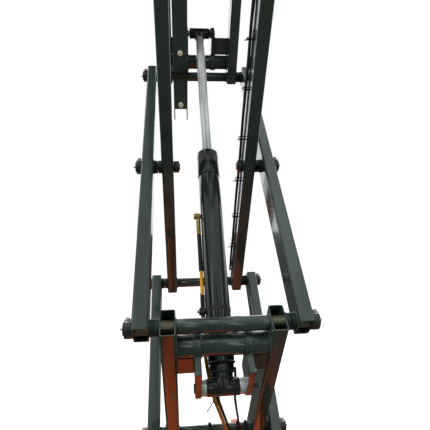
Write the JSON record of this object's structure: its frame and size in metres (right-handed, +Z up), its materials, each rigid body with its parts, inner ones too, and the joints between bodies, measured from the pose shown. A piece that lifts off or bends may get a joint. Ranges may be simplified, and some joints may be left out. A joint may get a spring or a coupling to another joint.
{
  "type": "scissor lift table",
  "caption": "Tall hydraulic lift table: stacked scissor frames between a tracked base and a flat platform, raised by one inclined cylinder",
  "frame": {"origin": "middle of the base's underside, on the floor", "axes": "+Z up, +X along the table from the fixed pivots to the rollers, +Y to the left"},
  "size_m": [1.7, 0.76, 3.6977],
  "materials": {
    "frame_paint": "gloss anthracite paint",
    "base_orange": "gloss orange-red paint",
    "zinc_bush": "yellow passivated zinc",
    "pin_steel": "blackened steel",
    "roller_steel": "turned steel",
    "chrome_rod": "hard chrome, ground",
    "cylinder_black": "gloss black paint",
    "brass_fitting": "yellow zinc and brass",
    "tank_black": "satin black paint",
    "valve_aluminium": "machined",
    "motor_grey": "painted grey",
    "deck_steel": "galvanised tread plate",
    "hose_rubber": "hydraulic hose cover",
    "cable_rubber": "cable sheath"
  },
  "bodies": {
    "base": {"base_rail_left": "base_orange", "base_rail_right": "base_orange", "base_cross_members": "base_orange", "base_cover_plate": "base_orange", "fixed_pivot_brackets": "base_orange", "lower_roller_tracks": "base_orange", "anchor_plates": "base_orange", "hydraulic_tank": "tank_black", "valve_block": "valve_aluminium", "pump_motor": "motor_grey", "base_hoses": "hose_rubber"},
    "lower_outer": {"lower_outer_arm_left": "frame_paint", "lower_outer_arm_right": "frame_paint", "lower_outer_bushes": "zinc_bush", "lower_outer_pins": "pin_steel", "arm_hoses": "hose_rubber"},
    "lower_inner": {"lower_inner_arm_left": "frame_paint", "lower_inner_arm_right": "frame_paint", "lower_inner_bushes": "zinc_bush", "lower_cross_tubes": "frame_paint", "lower_cylinder_lugs": "frame_paint", "cylinder_base_pin": "pin_steel"},
    "lower_left_roller": {"lower_roller_left": "roller_steel"},
    "lower_right_roller": {"lower_roller_right": "roller_steel"},
    "middle_outer": {"middle_outer_arm_left": "frame_paint", "middle_outer_arm_right": "frame_paint", "middle_outer_bushes": "zinc_bush", "middle_outer_pins": "pin_steel"},
    "middle_inner": {"middle_inner_arm_left": "frame_paint", "middle_inner_arm_right": "frame_paint", "middle_inner_bushes": "zinc_bush", "middle_cross_tubes": "frame_paint", "control_cables": "cable_rubber"},
    "upper_outer": {"upper_outer_arm_left": "frame_paint", "upper_outer_arm_right": "frame_paint", "upper_outer_bushes": "zinc_bush", "upper_outer_pins": "pin_steel"},
    "upper_left_roller": {"upper_roller_left": "roller_steel"},
    "upper_right_roller": {"upper_roller_right": "roller_steel"},
    "upper_inner": {"upper_inner_arm_left": "frame_paint", "upper_inner_arm_right": "frame_paint", "upper_inner_bushes": "zinc_bush", "upper_cross_tubes": "frame_paint", "upper_cylinder_lugs": "frame_paint", "rod_pin_stubs": "pin_steel", "platform_pivot_pins": "pin_steel"},
    "platform": {"platform_rail_left": "frame_paint", "platform_rail_right": "frame_paint", "platform_cross_members": "frame_paint", "platform_deck": "deck_steel", "platform_brackets": "frame_paint", "upper_roller_tracks": "frame_paint"},
    "cylinder": {"cylinder_barrel": "cylinder_black", "cylinder_gland": "cylinder_black", "cylinder_base_eye": "cylinder_black", "hose_elbow": "brass_fitting", "cylinder_hoses": "hose_rubber"},
    "rod": {"piston_rod": "chrome_rod", "rod_eye": "cylinder_black"},
    "prop": {"safety_prop": "frame_paint"}
  },
  "joints": [
    {"name": "lift", "type": "hinge", "parent": "base", "child": "lower_outer", "pos_m": [-0.76, 0, 0.13], "axis": [0, -1, 0], "range_deg": [-41.3, 0], "deforming": ["base_hoses"]},
    {"name": "lower_cross", "type": "hinge", "parent": "lower_outer", "child": "lower_inner", "pos_m": [-0.30045, 0, 0.70362], "axis": [0, -1, 0], "range_deg": [-0.2, 82.8], "deforming": ["arm_hoses"]},
    {"name": "lower_to_middle", "type": "hinge", "parent": "lower_inner", "child": "middle_outer", "pos_m": [-0.76, 0, 1.27723], "axis": [0, -1, 0], "range_deg": [-82.8, 0.2]},
    {"name": "middle_cross", "type": "hinge", "parent": "middle_outer", "child": "middle_inner", "pos_m": [-0.30045, 0, 1.85085], "axis": [0, -1, 0], "range_deg": [-0.2, 82.8]},
    {"name": "middle_to_upper", "type": "hinge", "parent": "middle_inner", "child": "upper_outer", "pos_m": [-0.76, 0, 2.42447], "axis": [0, -1, 0], "range_deg": [-82.8, 0.2]},
    {"name": "upper_cross", "type": "hinge", "parent": "upper_outer", "child": "upper_inner", "pos_m": [-0.30045, 0, 2.99808], "axis": [0, -1, 0], "range_deg": [-0.2, 82.8]},
    {"name": "platform_pivot", "type": "hinge", "parent": "upper_inner", "child": "platform", "pos_m": [-0.76, 0, 3.5717], "axis": [0, -1, 0], "range_deg": [-41.5, 0.2]},
    {"name": "cylinder_pivot", "type": "hinge", "parent": "lower_inner", "child": "cylinder", "pos_m": [-0.70698, 0, 1.05831], "axis": [0, -1, 0], "range_deg": [-77.02, 0.2], "deforming": ["cylinder_hoses"]},
    {"name": "rod_slide", "type": "slide", "parent": "cylinder", "child": "rod", "axis": [0.4564, 0, 0.8898], "range_m": [-0.565, 0.001]},
    {"name": "lower_left_roller_spin", "type": "hinge", "parent": "lower_inner", "child": "lower_left_roller", "pos_m": [0.15911, 0, 0.13], "axis": [0, -1, 0], "continuous": true},
    {"name": "lower_right_roller_spin", "type": "hinge", "parent": "lower_inner", "child": "lower_right_roller", "pos_m": [0.15911, 0, 0.13], "axis": [0, -1, 0], "continuous": true},
    {"name": "upper_left_roller_spin", "type": "hinge", "parent": "upper_outer", "child": "upper_left_roller", "pos_m": [0.15911, 0, 3.5717], "axis": [0, -1, 0], "continuous": true},
    {"name": "upper_right_roller_spin", "type": "hinge", "parent": "upper_outer", "child": "upper_right_roller", "pos_m": [0.15911, 0, 3.5717], "axis": [0, -1, 0], "continuous": true},
    {"name": "prop_swing", "type": "hinge", "parent": "upper_inner", "child": "prop", "pos_m": [-0.30045, 0, 2.99808], "axis": [0, 1, 0], "range_deg": [0, 30]}
  ],
  "couplings": [
    {"joint": "lower_cross", "follows": "lift", "ratio": -2},
    {"joint": "lower_to_middle", "follows": "lift", "ratio": 2},
    {"joint": "middle_cross", "follows": "lift", "ratio": -2},
    {"joint": "middle_to_upper", "follows": "lift", "ratio": 2},
    {"joint": "upper_cross", "follows": "lift", "ratio": -2},
    {"joint": "platform_pivot", "follows": "lift", "ratio": 1},
    {"joint": "cylinder_pivot", "follows": "lift", "ratio": 1.86},
    {"joint": "rod_slide", "follows": "lift", "m_per_rad": 0.78}
  ]
}
